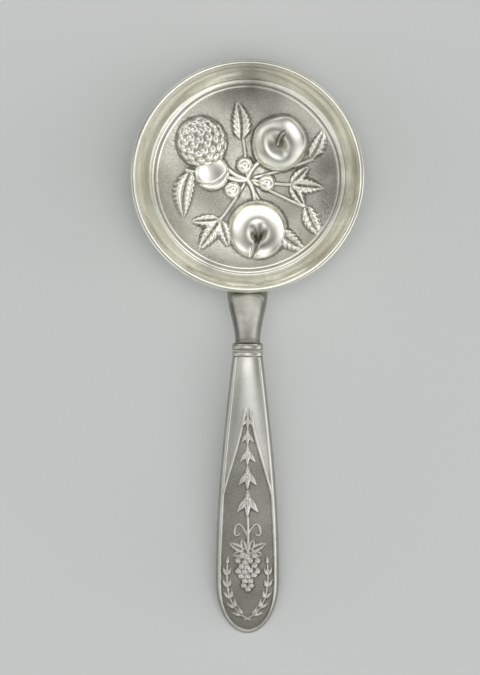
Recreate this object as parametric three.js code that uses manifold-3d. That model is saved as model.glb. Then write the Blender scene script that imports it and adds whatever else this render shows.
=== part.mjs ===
// A berry spoon: a round bowl embossed with fruit, edged with a soldered wire, on a shank that is
// soldered under its rim. The shank's tang runs through a beaded collar into a hollow handle,
// struck in two halves, soldered along their edges and filled with cement.
// Millimetres. The origin is the centre of the flat under the bowl, +Z is up, and the handle
// arches away along -Y and comes down to the surface that the bowl stands on.

import * as THREE from "three";
import { mergeVertices } from "three/addons/utils/BufferGeometryUtils.js";
import Module from "manifold-3d";

const wasm = await Module();
wasm.setup();

// The bowl
const bowlRadius = 39.7;
const bowlHeight = 22;
const bowlSheet = 0.9;
const restRadius = 6.5;
const wallTurn = 76;
const wireWidth = 2.4;
const wireThickness = 1.2;

// The fruit embossed in it, inside a plain band
const borderWidth = 7.5;
const reliefFade = 3;
const fruitRadius = 10.6;
const fruitHeight = 4.2;
const drupeletRise = 0.5;
const eyeRadius = 3.4;
const eyeDepth = 2.4;
const pitRadius = 3;
const pitDepth = 2.3;
const seamWidth = 1.2;
const seamDepth = 1;
const currantRadius = 3.1;
const currantHeight = 2.2;
const leafHeight = 1.6;
const leafVeinWidth = 1.1;
const leafVeinDepth = 0.6;

// The shank
const neckReach = 17.8;
const neckRise = 4.6;
const neckSlope = 18;
const neckHalfWidth = 4.2;
const neckHalfDepth = 2.4;
const dropReach = 9;
const dropHalfWidth = 7;
const dropHalfDepth = 2.7;
const tangLength = 38;
const tangWidth = 5;
const tangDepth = 2.4;
const tangTaper = 0.6;

// The collar
const collarLength = 5.2;
const collarStand = 0.2;
const collarBead = 0.55;
const collarBeads = 2;

// The hollow handle
const handleReach = 102.6;
const archReach = 12.5;
const tailReach = 46;
const tailRise = 15;
const handleWall = 0.9;
const handleStartHalfWidth = 4.6;
const handleHalfWidth = 11.1;
const tipRound = 20.2;
const frontStartRise = 2.7;
const frontRise = 3.5;
const backStartDrop = 2.7;
const backDrop = 2.5;
const marginWidth = 1.6;
const marginRise = 0.4;
const fieldDepth = 0.4;
const fieldStartHalfWidth = 0.5;
const fieldEndHalfWidth = 10;
const fieldStart = 88;
const fieldEnd = 38;
const bunch = { across: 0, back: 25.2, heading: 90, halfLength: 8.8, halfWidth: 5, rise: 1.5 };
const sprays = [
  { across: 4.2, back: 34.6, heading: 42, halfLength: 4.6, halfWidth: 3.2, rise: 0.8 },
  { across: 4.3, back: 14.6, heading: -46, halfLength: 4.4, halfWidth: 2.1, rise: 0.85 },
];
const huskPlaces = [50.5, 59.6, 67.2, 73.6, 78.8];
const husk = { halfLength: 4.7, halfWidth: 3, rise: 0.8, sink: 1 };
const huskShrink = 0.83;

// Clearance of a soldered or bedded joint, and points closer than weld are one
const seat = 0.3;
const weld = 1e-3;

// Powers that say how full a form is: a half of 1 is round, and less is squarer
const domeFullness = 0.55;
const sectionFullness = 0.8;
const heightBySize = 0.7;
const marginSlope = 1.4;
const dropShare = 0.36;
const ringsTowardsDrop = 1.3;

// How finely each surface is divided
const reliefRings = 19;
const restRings = 3;
const wallRings = 3;
const wireSectors = 72;
const wireSides = 5;
const neckSides = 20;
const neckSteps = 18;
const tangSteps = 8;
const collarSides = 32;
const stepsPerBead = 4;
const frontSides = 18;
const backSides = 12;
const frontSteps = 38;
const frontTipSteps = 12;
const plainSteps = 18;
const plainTipSteps = 8;
const fillerSides = 16;
const curveDivisions = 600;
const levelPasses = 6;

const radians = THREE.MathUtils.degToRad;
const smooth = THREE.MathUtils.smoothstep;
const lerp = THREE.MathUtils.lerp;
const X = new THREE.Vector3(1, 0, 0);

function range(count) {
  return Array.from({ length: count }, (_, i) => i);
}

// Surfaces and solids. A surface is a list of triangles, each counter-clockwise seen from outside,
// and one that closes on itself is welded into a solid.

// The surface between rings with equal counts of points, each ring counter-clockwise seen from the
// next. A ring drawn together to a point or a line closes the surface there by itself.
function band(rings) {
  return rings.slice(1).flatMap((next, i) => {
    const ring = rings[i];
    return ring.flatMap((point, j) => {
      const k = (j + 1) % ring.length;
      return [
        [point, ring[k], next[k]],
        [point, next[k], next[j]],
      ];
    });
  });
}

// A flat end over a ring, from the ring's outline in two dimensions, facing the way the rings run
function cap(ring, outline) {
  return THREE.ShapeUtils.triangulateShape(outline, []).map((face) => face.map((i) => ring[i]));
}

function turnedOver(triangles) {
  return triangles.map(([p, q, r]) => [p, r, q]);
}

// A disc of rings with six more points in each, so that its triangles are about equal: the part
// from one ring out to another, where place gives the point at a ring and an angle
function hexagonalDisc(firstRing, lastRing, place) {
  const pointsOf = (ring) => sixfoldRing(ring, (angle) => place(ring, angle));
  const triangles = [];
  for (let ring = firstRing; ring < lastRing; ring++) {
    const near = pointsOf(ring);
    const far = pointsOf(ring + 1);
    for (const sixth of range(6)) {
      for (const i of range(ring + 1)) {
        const here = near[(sixth * ring + i) % near.length];
        const after = near[(sixth * ring + i + 1) % near.length];
        const beyond = far[sixth * (ring + 1) + i];
        const beyondAfter = far[(sixth * (ring + 1) + i + 1) % far.length];
        triangles.push([here, beyond, beyondAfter]);
        if (i < ring) triangles.push([here, beyondAfter, after]);
      }
    }
  }
  return triangles;
}

// The points of one such ring; ring 0 is the centre
function sixfoldRing(ring, place) {
  const count = Math.max(1, 6 * ring);
  return range(count).map((i) => place(Math.PI / 2 + (2 * Math.PI * i) / count));
}

function weldTriangles(triangles) {
  const loose = new THREE.BufferGeometry();
  const places = triangles.flat().flatMap((point) => point.toArray());
  loose.setAttribute("position", new THREE.Float32BufferAttribute(places, 3));
  return withoutCollapsedFaces(mergeVertices(loose, weld));
}

// A solid along a row of rings, with the flat ends that are given
function loft(rings, firstOutline, lastOutline) {
  const ends = [];
  if (firstOutline) ends.push(...turnedOver(cap(rings[0], firstOutline)));
  if (lastOutline) ends.push(...cap(rings.at(-1), lastOutline));
  return weldTriangles([...band(rings), ...ends]);
}

function withoutCollapsedFaces(geometry) {
  const index = geometry.index.array;
  const kept = [];
  for (let i = 0; i < index.length; i += 3) {
    const [a, b, c] = index.slice(i, i + 3);
    if (a !== b && b !== c && c !== a) kept.push(a, b, c);
  }
  geometry.setIndex(kept);
  return geometry;
}

// A solid of revolution about Z, from a closed profile of radius and height
function revolve(profile, sectors) {
  const points = [...profile, profile[0]].map(([radius, height]) => new THREE.Vector2(radius, height));
  const geometry = new THREE.LatheGeometry(points, sectors);
  geometry.deleteAttribute("normal");
  geometry.deleteAttribute("uv");
  geometry.rotateX(Math.PI / 2);
  return withoutCollapsedFaces(mergeVertices(geometry, weld));
}

function toManifold(geometry) {
  return new wasm.Manifold(
    new wasm.Mesh({
      numProp: 3,
      vertProperties: new Float32Array(geometry.attributes.position.array),
      triVerts: new Uint32Array(geometry.index.array),
    }),
  );
}

function fromManifold(solid) {
  const { vertProperties, triVerts } = solid.getMesh();
  const geometry = new THREE.BufferGeometry();
  geometry.setAttribute("position", new THREE.Float32BufferAttribute(vertProperties, 3));
  geometry.setIndex([...triVerts]);
  return geometry;
}

function join(...geometries) {
  return fromManifold(geometries.map(toManifold).reduce((whole, next) => whole.add(next)));
}

function cut(geometry, tool) {
  return fromManifold(toManifold(geometry).subtract(toManifold(tool)));
}

// The bowl's section: the lower part of an ellipse, standing on a flat

const halfAcross = bowlRadius / Math.sin(radians(wallTurn));
const restTurn = Math.asin(restRadius / halfAcross);
const halfDeep = bowlHeight / (Math.cos(restTurn) - Math.cos(radians(wallTurn)));
const sectionCentre = halfDeep * Math.cos(restTurn);
const reliefRadius = bowlRadius - borderWidth;

// A place on the outside of the bowl, by how far round the ellipse it is, and the way out from it
function outside(turn) {
  const place = new THREE.Vector2(
    halfAcross * Math.sin(turn),
    sectionCentre - halfDeep * Math.cos(turn),
  );
  const out = new THREE.Vector2(
    Math.sin(turn) / halfAcross,
    -Math.cos(turn) / halfDeep,
  ).normalize();
  return { place, out };
}

function inside(turn) {
  const across = halfAcross - bowlSheet;
  const deep = halfDeep - bowlSheet;
  const place = new THREE.Vector2(
    across * Math.sin(turn),
    Math.max(bowlSheet, sectionCentre - deep * Math.cos(turn)),
  );
  return { place, out: outside(turn).out };
}

const insideRimTurn = Math.acos((sectionCentre - bowlHeight) / (halfDeep - bowlSheet));
const reliefTurn = Math.asin(reliefRadius / halfAcross);

// The embossed fruit, as a height pushed up from below at a point of the bowl's plan

const fruits = [
  { form: "berry", angle: 141.4, out: 0.64, size: 0.87 },
  { form: "plum", angle: 175, out: 0.4, size: 0.53 },
  { form: "apple", angle: 48.1, out: 0.522, size: 0.935 },
  { form: "peach", angle: -78.6, out: 0.564, size: 1 },
];

const currants = [
  { angle: 100, out: 0.16 },
  { angle: 215, out: 0.2 },
  { angle: -10, out: 0.22 },
];

// A leaf has one blade or three, which spread from its foot
const leaves = [
  { angle: 96, out: 0.64, heading: 96, halfLength: 6.6, halfWidth: 3.7, blades: 1 },
  { angle: 193, out: 0.72, heading: 262, halfLength: 8.4, halfWidth: 3.7, blades: 1 },
  { angle: 236, out: 0.74, heading: 236, halfLength: 6.4, halfWidth: 3.1, blades: 3 },
  { angle: -7, out: 0.66, heading: -7, halfLength: 5.6, halfWidth: 3, blades: 3 },
  { angle: -34, out: 0.85, heading: -66, halfLength: 6, halfWidth: 3.1, blades: 1 },
  { angle: -56, out: 0.82, heading: -40, halfLength: 6.2, halfWidth: 3.4, blades: 1 },
  { angle: 25, out: 0.86, heading: 66, halfLength: 5.4, halfWidth: 2.7, blades: 1 },
];
const sideBladeTurn = 52;
const sideBladeSize = 0.78;

function polar(angle, radius) {
  return new THREE.Vector2(Math.cos(radians(angle)), Math.sin(radians(angle))).multiplyScalar(radius);
}

function dome(distance, radius, height) {
  return distance < radius ? height * (1 - (distance / radius) ** 2) ** domeFullness : 0;
}

function groove(distance, width, depth) {
  return depth * Math.exp(-((distance / width) ** 2));
}

// Each fruit's height at an offset from its centre
const fruitForms = {
  berry: (dx, dy, radius, height) => dome(Math.hypot(dx, dy), radius, height + drupeletRise),
  plum: (dx, dy, radius, height) => dome(Math.hypot(dx, dy), radius, height),
  apple(dx, dy, radius, height) {
    const distance = Math.hypot(dx, dy);
    return dome(distance, radius, height) - groove(distance, eyeRadius, eyeDepth);
  },
  peach(dx, dy, radius, height) {
    const pit = groove(Math.hypot(dx, dy), pitRadius, pitDepth);
    const seam = groove(dx, seamWidth, seamDepth) * smooth(dy, 0, pitRadius);
    return dome(Math.hypot(dx, dy), radius, height) - pit - seam;
  },
};

function fruitRise({ form, angle, out, size }, x, y) {
  const centre = polar(angle, out * reliefRadius);
  const radius = fruitRadius * size;
  const height = fruitHeight * size ** heightBySize;
  return Math.max(0, fruitForms[form](x - centre.x, y - centre.y, radius, height));
}

// A leaf's blade, by its middle, its heading and its sizes, with a vein down the middle
function bladeRise(centre, heading, halfLength, halfWidth, x, y) {
  const way = polar(heading, 1);
  const along = (x - centre.x) * way.x + (y - centre.y) * way.y;
  const across = (y - centre.y) * way.x - (x - centre.x) * way.y;
  const fullness = 1 - (along / halfLength) ** 2;
  if (fullness <= 0) return 0;
  const share = Math.abs(across) / (halfWidth * fullness);
  if (share >= 1) return 0;
  const blade = leafHeight * Math.sqrt(fullness) * (1 - share ** 2);
  return Math.max(0, blade - groove(across, leafVeinWidth, leafVeinDepth));
}

function leafRise({ angle, out, heading, halfLength, halfWidth, blades }, x, y) {
  const foot = polar(angle, out * reliefRadius).sub(polar(heading, halfLength));
  const rises = [0, sideBladeTurn, -sideBladeTurn].slice(0, blades).map((turn) => {
    const size = turn ? sideBladeSize : 1;
    const centre = foot.clone().add(polar(heading + turn, halfLength * size));
    return bladeRise(centre, heading + turn, halfLength * size, halfWidth * size, x, y);
  });
  return Math.max(...rises);
}

function currantRise({ angle, out }, x, y) {
  const centre = polar(angle, out * reliefRadius);
  return dome(Math.hypot(x - centre.x, y - centre.y), currantRadius, currantHeight);
}

function reliefAt(x, y) {
  const rises = [
    ...fruits.map((fruit) => fruitRise(fruit, x, y)),
    ...leaves.map((leaf) => leafRise(leaf, x, y)),
    ...currants.map((currant) => currantRise(currant, x, y)),
  ];
  const radius = Math.hypot(x, y);
  return Math.max(...rises) * (1 - smooth(radius, reliefRadius - reliefFade, reliefRadius));
}

// A point of the bowl's surface, pushed up into the bowl by its share of the relief
function bowlPoint({ place, out }, angle, reliefShare) {
  const across = new THREE.Vector2(Math.cos(angle), Math.sin(angle));
  const rise = reliefShare * reliefAt(across.x * place.x, across.y * place.x);
  const radius = place.x - out.x * rise;
  return new THREE.Vector3(across.x * radius, across.y * radius, place.y - out.y * rise);
}

// The sheet: an embossed floor, a plain wall over the rim and down outside, and the hollow
// underside of the fruit, round the flat that the bowl rests on
function bowl() {
  const floor = hexagonalDisc(0, reliefRings, (ring, angle) =>
    bowlPoint(inside((reliefTurn * ring) / reliefRings), angle, 1),
  );
  const underside = hexagonalDisc(restRings, reliefRings, (ring, angle) => {
    const share = (ring - restRings) / (reliefRings - restRings);
    const reliefShare = smooth(ring, restRings, restRings + 2);
    return bowlPoint(outside(lerp(restTurn, reliefTurn, share)), angle, reliefShare);
  });
  const wallRing = (place) => sixfoldRing(reliefRings, (angle) => bowlPoint(place, angle, 1));
  const steps = range(wallRings + 1).map((i) => i / wallRings);
  const wall = band([
    ...steps.map((share) => wallRing(outside(lerp(reliefTurn, radians(wallTurn), share)))),
    ...steps.map((share) => wallRing(inside(lerp(insideRimTurn, reliefTurn, share)))),
  ]);
  const rest = sixfoldRing(restRings, (angle) => bowlPoint(outside(restTurn), angle, 0));
  const restOutline = rest.map((point) => new THREE.Vector2(point.x, point.y));
  return weldTriangles([
    ...floor,
    ...wall,
    ...turnedOver([...underside, ...cap(rest, restOutline)]),
  ]);
}

// The half-round wire lies along the outside of the wall, level with the rim, and is grown by a
// clearance where it is a tool for what seats against it
function wireProfile(grown) {
  const rim = outside(radians(wallTurn));
  const up = new THREE.Vector2(-rim.out.y, rim.out.x);
  const middle = rim.place.clone().addScaledVector(up, -wireWidth / 2);
  return range(wireSides + 1).map((i) => {
    const turn = -Math.PI / 2 + (Math.PI * i) / wireSides;
    const point = middle
      .clone()
      .addScaledVector(rim.out, seat - grown + Math.cos(turn) * (wireThickness + 2 * grown))
      .addScaledVector(up, Math.sin(turn) * (wireWidth / 2 + grown));
    return [point.x, point.y];
  });
}

function rimWire() {
  return revolve(wireProfile(0), wireSectors);
}

// The bowl with its wire, as the solid that the shank's drop is shaped to
function seatOfTheDrop() {
  const headroom = bowlHeight + neckRise + neckHalfDepth * 4;
  const wall = range(wallRings * 4 + 1).map((i) => {
    const { place, out } = outside(lerp(restTurn, radians(wallTurn), i / (wallRings * 4)));
    return [place.x + out.x * seat, place.y + out.y * seat];
  });
  const plug = [[0, -seat], ...wall, [bowlRadius + seat, headroom], [0, headroom]];
  return join(revolve(plug, wireSectors), revolve(wireProfile(seat), wireSectors));
}

// The centre line: up the bowl's wall, out over the arch and down to the tip

const collarPlace = new THREE.Vector3(0, -(bowlRadius + neckReach), bowlHeight + neckRise);
const collarWay = new THREE.Vector3(0, -Math.cos(radians(neckSlope)), Math.sin(radians(neckSlope)));

function neckLine() {
  const turn = Math.asin((bowlRadius - dropReach) / halfAcross);
  const { place, out } = outside(turn);
  const start = new THREE.Vector3(0, -(place.x + out.x * seat), place.y + out.y * seat);
  const upTheWall = new THREE.Vector3(0, out.y, out.x);
  const span = start.distanceTo(collarPlace) / 3;
  return new THREE.CubicBezierCurve3(
    start,
    start.clone().addScaledVector(upTheWall, span),
    collarPlace.clone().addScaledVector(collarWay, -span),
    collarPlace,
  );
}

function handleLine(tipHeight) {
  const tip = new THREE.Vector3(0, collarPlace.y - handleReach, tipHeight);
  const line = new THREE.CubicBezierCurve3(
    collarPlace,
    collarPlace.clone().addScaledVector(collarWay, archReach),
    tip.clone().add(new THREE.Vector3(0, tailReach, tailRise)),
    tip,
  );
  line.arcLengthDivisions = curveDivisions;
  return line;
}

// A cross-section's place at a distance along a line: its centre and the way up from it
function stationOn(line, distance) {
  const share = THREE.MathUtils.clamp(distance / line.getLength(), 0, 1);
  const centre = line.getPointAt(share);
  const up = line.getTangentAt(share).cross(X);
  return { centre, up };
}

function placeOutline({ centre, up }, outline) {
  return outline.map(({ x, y }) => centre.clone().addScaledVector(X, x).addScaledVector(up, y));
}

function ellipse(halfWidth, halfDepth, sides) {
  return range(sides).map((i) => {
    const turn = (2 * Math.PI * i) / sides;
    return new THREE.Vector2(halfWidth * Math.cos(turn), halfDepth * Math.sin(turn));
  });
}

// The handle's sizes at a distance along it, drawn in by an inset for its hollow and its filling

function handleSizes(length, distance, inset) {
  const widest = length - tipRound;
  const share = Math.min(1, distance / widest);
  const ease = Math.sin((share * Math.PI) / 2);
  const past = Math.max(0, distance - widest) / (tipRound - inset);
  const closing = Math.sqrt(Math.max(0, 1 - past ** 2));
  return {
    halfWidth: (lerp(handleStartHalfWidth, handleHalfWidth, ease) - inset) * closing,
    rise: (lerp(frontStartRise, frontRise, share) - inset) * closing ** sectionFullness,
    drop: (lerp(backStartDrop, backDrop, share) - inset) * closing ** sectionFullness,
  };
}

// The tip stands at the height where the handle's underside just reaches the level of the rest
function restingTipHeight() {
  let height = backDrop;
  for (let pass = 0; pass < levelPasses; pass++) {
    const line = handleLine(height);
    const length = line.getLength();
    const lows = range(curveDivisions + 1).map((i) => {
      const distance = (length * i) / curveDivisions;
      const { centre, up } = stationOn(line, distance);
      return centre.z - up.z * (handleSizes(length, distance, 0).drop + seat / 2);
    });
    height -= Math.min(...lows);
  }
  return height;
}

const handle = handleLine(restingTipHeight());
const handleLength = handle.getLength();
const shellStart = collarLength + seat;

// How far a place on the front is from the handle's edge; the tip is half an oval
function fromEdge(distance, x, halfWidth) {
  const past = distance - (handleLength - tipRound);
  if (past <= 0) return halfWidth - Math.abs(x);
  const share = Math.hypot(x / handleHalfWidth, past / tipRound);
  return (1 / share - 1) * Math.hypot(x, past);
}

function swelling({ across, back, heading, halfLength, halfWidth, rise }, x, y) {
  const way = polar(heading, 1);
  const along = (x - across) * way.x + (y - back) * way.y;
  const aside = (y - back) * way.x - (x - across) * way.y;
  return dome(Math.hypot(along / halfLength, aside / halfWidth), 1, rise);
}

// The ornament struck in the front: inside a raised margin a field is sunk, which narrows away from
// the tip. A bunch of grapes between leaves stands on it, and a chain of husks that grow smaller.
function ornamentRise(distance, x, halfWidth) {
  const back = handleLength - distance;
  const inward = fromEdge(distance, x, halfWidth);
  const margin = marginRise * (1 - smooth(inward, marginWidth, marginWidth * marginSlope));
  const narrowing = smooth(back, fieldEnd, fieldStart);
  const fieldHalfWidth = lerp(fieldEndHalfWidth, fieldStartHalfWidth, narrowing);
  const intoField = Math.min(inward - marginWidth, fieldHalfWidth - Math.abs(x));
  const field = fieldDepth * smooth(intoField, 0, marginWidth / 2);
  const chain = huskPlaces.map((place, i) => {
    const size = huskShrink ** i;
    return swelling(
      {
        across: 0,
        back: place - husk.sink * size,
        heading: 90,
        halfLength: husk.halfLength * size,
        halfWidth: husk.halfWidth * size,
        rise: husk.rise * size,
      },
      x,
      back,
    );
  });
  const group = [bunch, ...sprays].map((form) => swelling(form, Math.abs(x), back));
  const raised = Math.max(...chain, ...group) * smooth(inward, marginWidth, marginWidth * marginSlope);
  return (margin + raised - field) * smooth(inward, 0, marginWidth / 2);
}

// One arc of a handle section, from edge to edge over the front or under the back
function shellArc(distance, inset, side, ornament) {
  const { halfWidth, rise, drop } = handleSizes(handleLength, distance, inset);
  const height = side > 0 ? rise : drop;
  const station = stationOn(handle, distance);
  const sides = side > 0 ? frontSides : backSides;
  const outline = range(sides + 1).map((j) => {
    const turn = (side > 0 ? 0 : Math.PI) + (Math.PI * j) / sides;
    const x = halfWidth * Math.cos(turn);
    const fullness = Math.abs(Math.sin(turn)) ** sectionFullness;
    const raised = ornament ? ornamentRise(distance, x, halfWidth) : 0;
    return new THREE.Vector2(x, side * (seat / 2 + height * fullness + raised));
  });
  return { outline, points: placeOutline(station, outline) };
}

// Distances along the handle for its rings, closer together round the tip, for a form set in from
// its outside by an inset
function ringDistances(steps, tipSteps, inset) {
  const widest = handleLength - tipRound;
  return [
    ...range(steps).map((i) => lerp(shellStart, widest, i / steps)),
    ...range(tipSteps + 1).map((i) => {
      const turn = (Math.PI * i) / (2 * tipSteps);
      return widest + (tipRound - inset) * Math.sin(turn);
    }),
  ];
}

function handleHalf(side) {
  const steps = side > 0 ? frontSteps : plainSteps;
  const tipSteps = side > 0 ? frontTipSteps : plainTipSteps;
  const innerDistances = ringDistances(steps, tipSteps, handleWall);
  const arcs = ringDistances(steps, tipSteps, 0).map((distance, i) => [
    shellArc(distance, 0, side, side > 0),
    shellArc(innerDistances[i], handleWall, side, false),
  ]);
  const [outer, inner] = arcs[0];
  const startCap = [...outer.outline, ...[...inner.outline].reverse()];
  const rings = arcs.map(([skin, hollow]) => [...skin.points, ...[...hollow.points].reverse()]);
  return loft(rings, startCap);
}

// The tang runs down the middle of the handle, and its grown form is the bore that it lies in
function tang(grown) {
  const outlineAt = (share) => {
    const taper = lerp(1, tangTaper, share);
    const x = (tangWidth * taper) / 2 + grown;
    const y = (tangDepth * taper) / 2 + grown;
    return [
      new THREE.Vector2(x, -y),
      new THREE.Vector2(x, y),
      new THREE.Vector2(-x, y),
      new THREE.Vector2(-x, -y),
    ];
  };
  const rings = range(tangSteps + 1).map((i) => {
    const distance = lerp(-grown, tangLength + grown, i / tangSteps);
    return placeOutline(stationOn(handle, distance), outlineAt(i / tangSteps));
  });
  return loft(rings, outlineAt(0), outlineAt(1));
}

function handleFiller() {
  const inset = handleWall + seat;
  const sectionAt = (distance) => {
    const { halfWidth, rise, drop } = handleSizes(handleLength, distance, inset);
    return range(fillerSides).map((j) => {
      const turn = (2 * Math.PI * j) / fillerSides;
      const upward = Math.sin(turn);
      const height = upward > 0 ? rise : drop;
      const fullness = Math.sign(upward) * Math.abs(upward) ** sectionFullness;
      return new THREE.Vector2(halfWidth * Math.cos(turn), height * fullness);
    });
  };
  const rings = ringDistances(plainSteps, plainTipSteps, inset).map((distance) =>
    placeOutline(stationOn(handle, distance), sectionAt(distance)),
  );
  return loft(rings, sectionAt(shellStart));
}

// The collar stands a little proud of what it joins, and is turned into round beads
function collar() {
  const halfWidth = Math.max(neckHalfWidth, handleStartHalfWidth) + collarStand;
  const halfDepth = Math.max(neckHalfDepth, frontStartRise, backStartDrop) + collarStand;
  const steps = collarBeads * stepsPerBead;
  const outlineAt = (share) => {
    const bead = collarBead * Math.abs(Math.sin(Math.PI * collarBeads * share));
    return ellipse(halfWidth + bead, halfDepth + bead, collarSides);
  };
  const rings = range(steps + 1).map((i) => {
    const share = i / steps;
    return placeOutline(stationOn(handle, seat + (collarLength - seat) * share), outlineAt(share));
  });
  return loft(rings, outlineAt(0), outlineAt(1));
}

// The shank: a rounded drop against the bowl, a neck, a shoulder at the collar, then the tang
function shank() {
  const line = neckLine();
  const length = line.getLength();
  const outlineAt = (share) => {
    const opening = Math.sqrt(1 - (1 - Math.min(1, share / dropShare)) ** 2);
    const narrowing = smooth(share, dropShare, 1);
    const halfWidth = lerp(dropHalfWidth, neckHalfWidth, narrowing) * opening;
    const halfDepth = lerp(dropHalfDepth, neckHalfDepth, narrowing) * opening;
    return ellipse(halfWidth, halfDepth, neckSides);
  };
  const rings = range(neckSteps + 1).map((i) => {
    const share = (i / neckSteps) ** ringsTowardsDrop;
    return placeOutline(stationOn(line, length * share), outlineAt(share));
  });
  const neck = loft(rings, null, outlineAt(1));
  return cut(join(neck, tang(0)), seatOfTheDrop());
}

// The object

const silver = { color: 0xbcbbae, metalness: 1, roughness: 0.24 };
const bowlSilver = new THREE.MeshStandardMaterial({ ...silver, color: 0xc0bfab });
const handleSilver = new THREE.MeshStandardMaterial({ ...silver, roughness: 0.3 });
const cement = new THREE.MeshStandardMaterial({ color: 0x6b5b49, metalness: 0, roughness: 0.9 });

const spoon = new THREE.Group();

function add(name, geometry, material) {
  geometry.computeVertexNormals();
  const mesh = new THREE.Mesh(geometry, material);
  mesh.name = name;
  spoon.add(mesh);
}

add("bowl", bowl(), bowlSilver);
add("rim_wire", rimWire(), bowlSilver);
add("shank", shank(), handleSilver);
add("collar", cut(collar(), tang(seat)), handleSilver);
add("handle_front", handleHalf(1), handleSilver);
add("handle_back", handleHalf(-1), handleSilver);
add("handle_filler", cut(handleFiller(), tang(seat)), cement);

export default spoon;
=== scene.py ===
"""Dresses a berry spoon of silver: a round bowl embossed with fruit on a matted ground and edged
with a wire, on a forged shank with a turned collar, and a hollow handle struck with ornament.

The formulas work in millimetres, as a silversmith's drawing does. Every mesh is written in
metres, in the frame's own coordinates.
"""
import math

import bmesh
import bpy
import numpy as np
from bpy.props import FloatProperty, FloatVectorProperty, PointerProperty
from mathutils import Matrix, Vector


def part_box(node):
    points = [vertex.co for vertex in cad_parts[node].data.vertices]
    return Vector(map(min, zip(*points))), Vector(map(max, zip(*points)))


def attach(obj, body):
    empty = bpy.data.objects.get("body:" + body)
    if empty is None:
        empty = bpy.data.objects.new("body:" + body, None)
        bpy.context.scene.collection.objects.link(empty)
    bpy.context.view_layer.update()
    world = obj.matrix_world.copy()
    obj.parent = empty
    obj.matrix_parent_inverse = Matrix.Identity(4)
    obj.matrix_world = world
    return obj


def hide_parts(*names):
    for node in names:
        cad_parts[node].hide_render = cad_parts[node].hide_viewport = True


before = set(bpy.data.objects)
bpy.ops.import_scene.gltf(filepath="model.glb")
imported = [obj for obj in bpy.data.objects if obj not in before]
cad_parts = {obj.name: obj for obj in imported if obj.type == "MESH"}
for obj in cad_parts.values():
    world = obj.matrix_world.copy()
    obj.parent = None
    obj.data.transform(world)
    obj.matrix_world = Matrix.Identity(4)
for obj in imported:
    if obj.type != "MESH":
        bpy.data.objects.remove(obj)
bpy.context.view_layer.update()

bl_info = {
    "name": "Berry Spoon",
    "version": (1, 0, 0),
    "blender": (4, 5, 0),
    "location": "View3D > Sidebar > Spoon",
    "description": "Builds an embossed silver berry spoon round its packed frame",
    "category": "Add Mesh",
}

MM = 0.001
BODY = "root"
BOWL_HIGH = np.array(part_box("bowl")[1])
COLLAR_LOW, COLLAR_HIGH = (np.array(corner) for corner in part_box("collar"))
HANDLE_LOW, HANDLE_HIGH = (np.array(corner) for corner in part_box("handle_front"))

GOLDEN_ANGLE = math.pi * (3 - math.sqrt(5))

# How finely the forms are divided, and the cells of the height maps in millimetres
BOWL_SECTORS = 480
UNDERSIDE_ROWS, WALL_ROWS, INSIDE_WALL_ROWS, FLOOR_ROWS = 40, 7, 8, 142
LIP_POINTS = 9
BOWL_CELL, HANDLE_CELL = 0.15, 0.1
WIRE_ARC_POINTS, WIRE_SECTORS, WIRE_ROWS = 25, 361, 61
SHANK_SIDES, SHANK_ROWS = 72, 110
BEAD_POINTS, COLLAR_SECTORS, COLLAR_ROWS = 49, 97, 181
PEARL_COUNT = 27
FRONT_SIDES, FRONT_ROWS = 40, 320
BACK_SIDES, BACK_ROWS = 16, 90

# Small distances in millimetres: where reliefs fade out, and how far forms reach into others
REST_FADE, RELIEF_FADE, PLAIN_BORDER = 3, 3, 1.2
WIRE_BURIED = 0.2
SHANK_IN_COLLAR = 0.8
COLLAR_GAP, COLLAR_STAND, COLLAR_EDGE, PEARLS_OUT = 0.15, 0.2, 0.3, 0.06
HANDLE_IN_COLLAR = 0.2

# What the strewing of the matting's grains starts from
GRAIN_SEED = 7

# Points closer than these, in metres, are one: of a turned form, and of a struck one
MERGE, WELD = 0.000004, 0.000002
THINNEST_FACE = 0.0000005

# From the seam's middle to each half of the handle, in millimetres
SEAM_GAP = 0.03


# Sizes and colours that a user would change

def length(name, description, millimetres):
    return FloatProperty(name=name, description=description, default=millimetres * MM,
                         unit="LENGTH", precision=4)


def angle(name, description, degrees):
    return FloatProperty(name=name, description=description, default=math.radians(degrees),
                         subtype="ANGLE")


def colour(name, description, red, green, blue):
    return FloatVectorProperty(name=name, description=description, default=(red, green, blue),
                               subtype="COLOR", min=0, max=1)


def strength(name, description, default, most=100):
    return FloatProperty(name=name, description=description, default=default, min=0, max=most)


class BowlSizes(bpy.types.PropertyGroup):
    """Sizes of the bowl and of the fruit embossed in it."""
    radius: length("Radius", "Outside of the sheet at the rim", BOWL_HIGH[0] / MM)
    height: length("Height", "Rim over the surface that the bowl stands on", BOWL_HIGH[2] / MM)
    sheet: length("Sheet", "Thickness of the silver", 0.9)
    rest: length("Rest", "Radius of the flat under the bowl", 6.5)
    wall_turn: angle("Wall turn", "How far round its section ellipse the wall runs", 76)
    border: length("Border", "Width of the plain band inside the rim", 7.5)
    wire_width: length("Wire width", "Height of the half-round wire on the wall", 2.4)
    wire_thickness: length("Wire thickness", "How far the wire stands out", 1.2)
    fruit_radius: length("Fruit radius", "Radius of a large fruit", 10.6)
    fruit_height: length("Fruit height", "How far a large fruit is pushed up", 4.2)
    leaf_height: length("Leaf height", "How far a leaf is pushed up", 1.5)


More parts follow.
